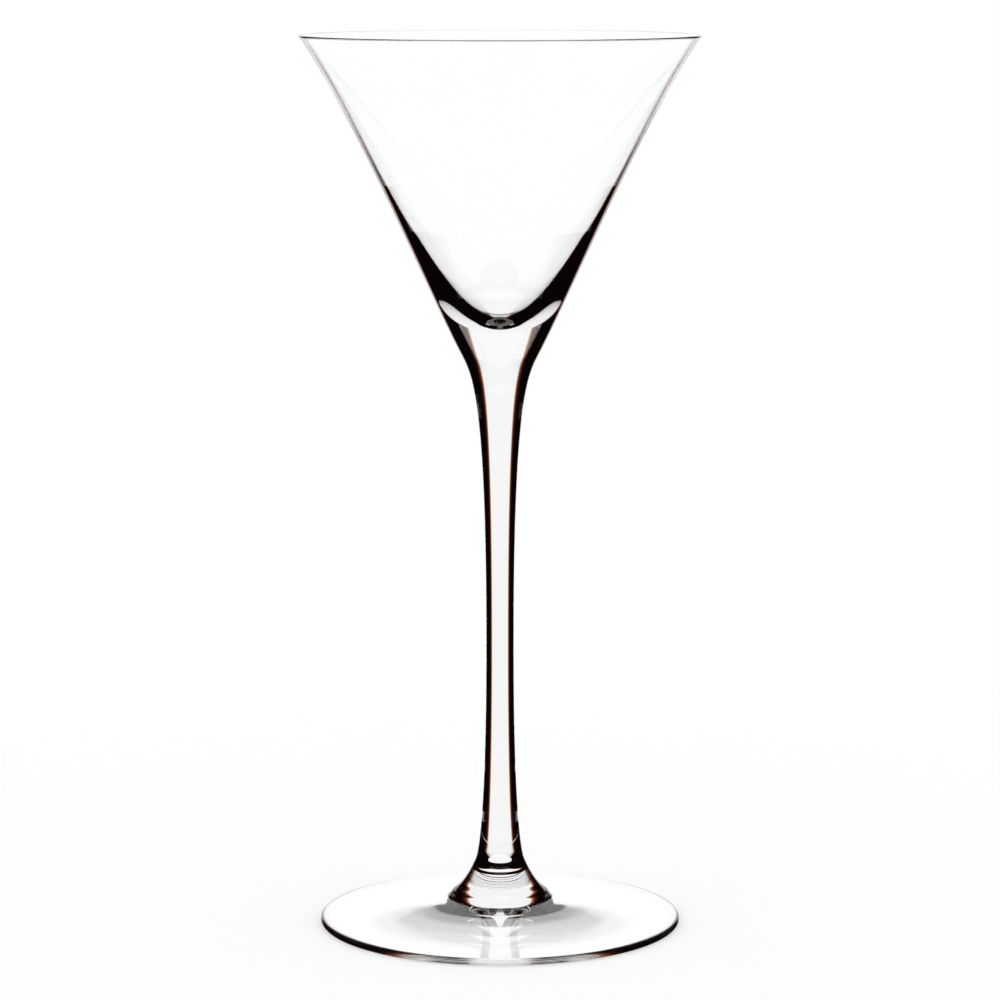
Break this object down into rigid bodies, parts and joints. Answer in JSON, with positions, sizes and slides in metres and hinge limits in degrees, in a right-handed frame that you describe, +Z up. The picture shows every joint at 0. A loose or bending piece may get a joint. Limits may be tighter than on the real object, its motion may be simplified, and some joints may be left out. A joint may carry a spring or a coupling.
{
  "type": "martini glass",
  "caption": "Tall clear martini glass: thin conical bowl with a heavy rounded well, solid drawn stem flaring at both ends, and a thin round foot.",
  "frame": {"origin": "centre of the ring that the foot stands on, at table height", "axes": "+Z up along the axis of the glass; X and Y lie in the table, and the glass is round about Z"},
  "size_m": [0.11, 0.11, 0.248],
  "materials": {
    "clear_glass": "fire-polished"
  },
  "bodies": {
    "root": {"bowl": "clear_glass", "stem": "clear_glass", "foot": "clear_glass"}
  },
  "joints": []
}
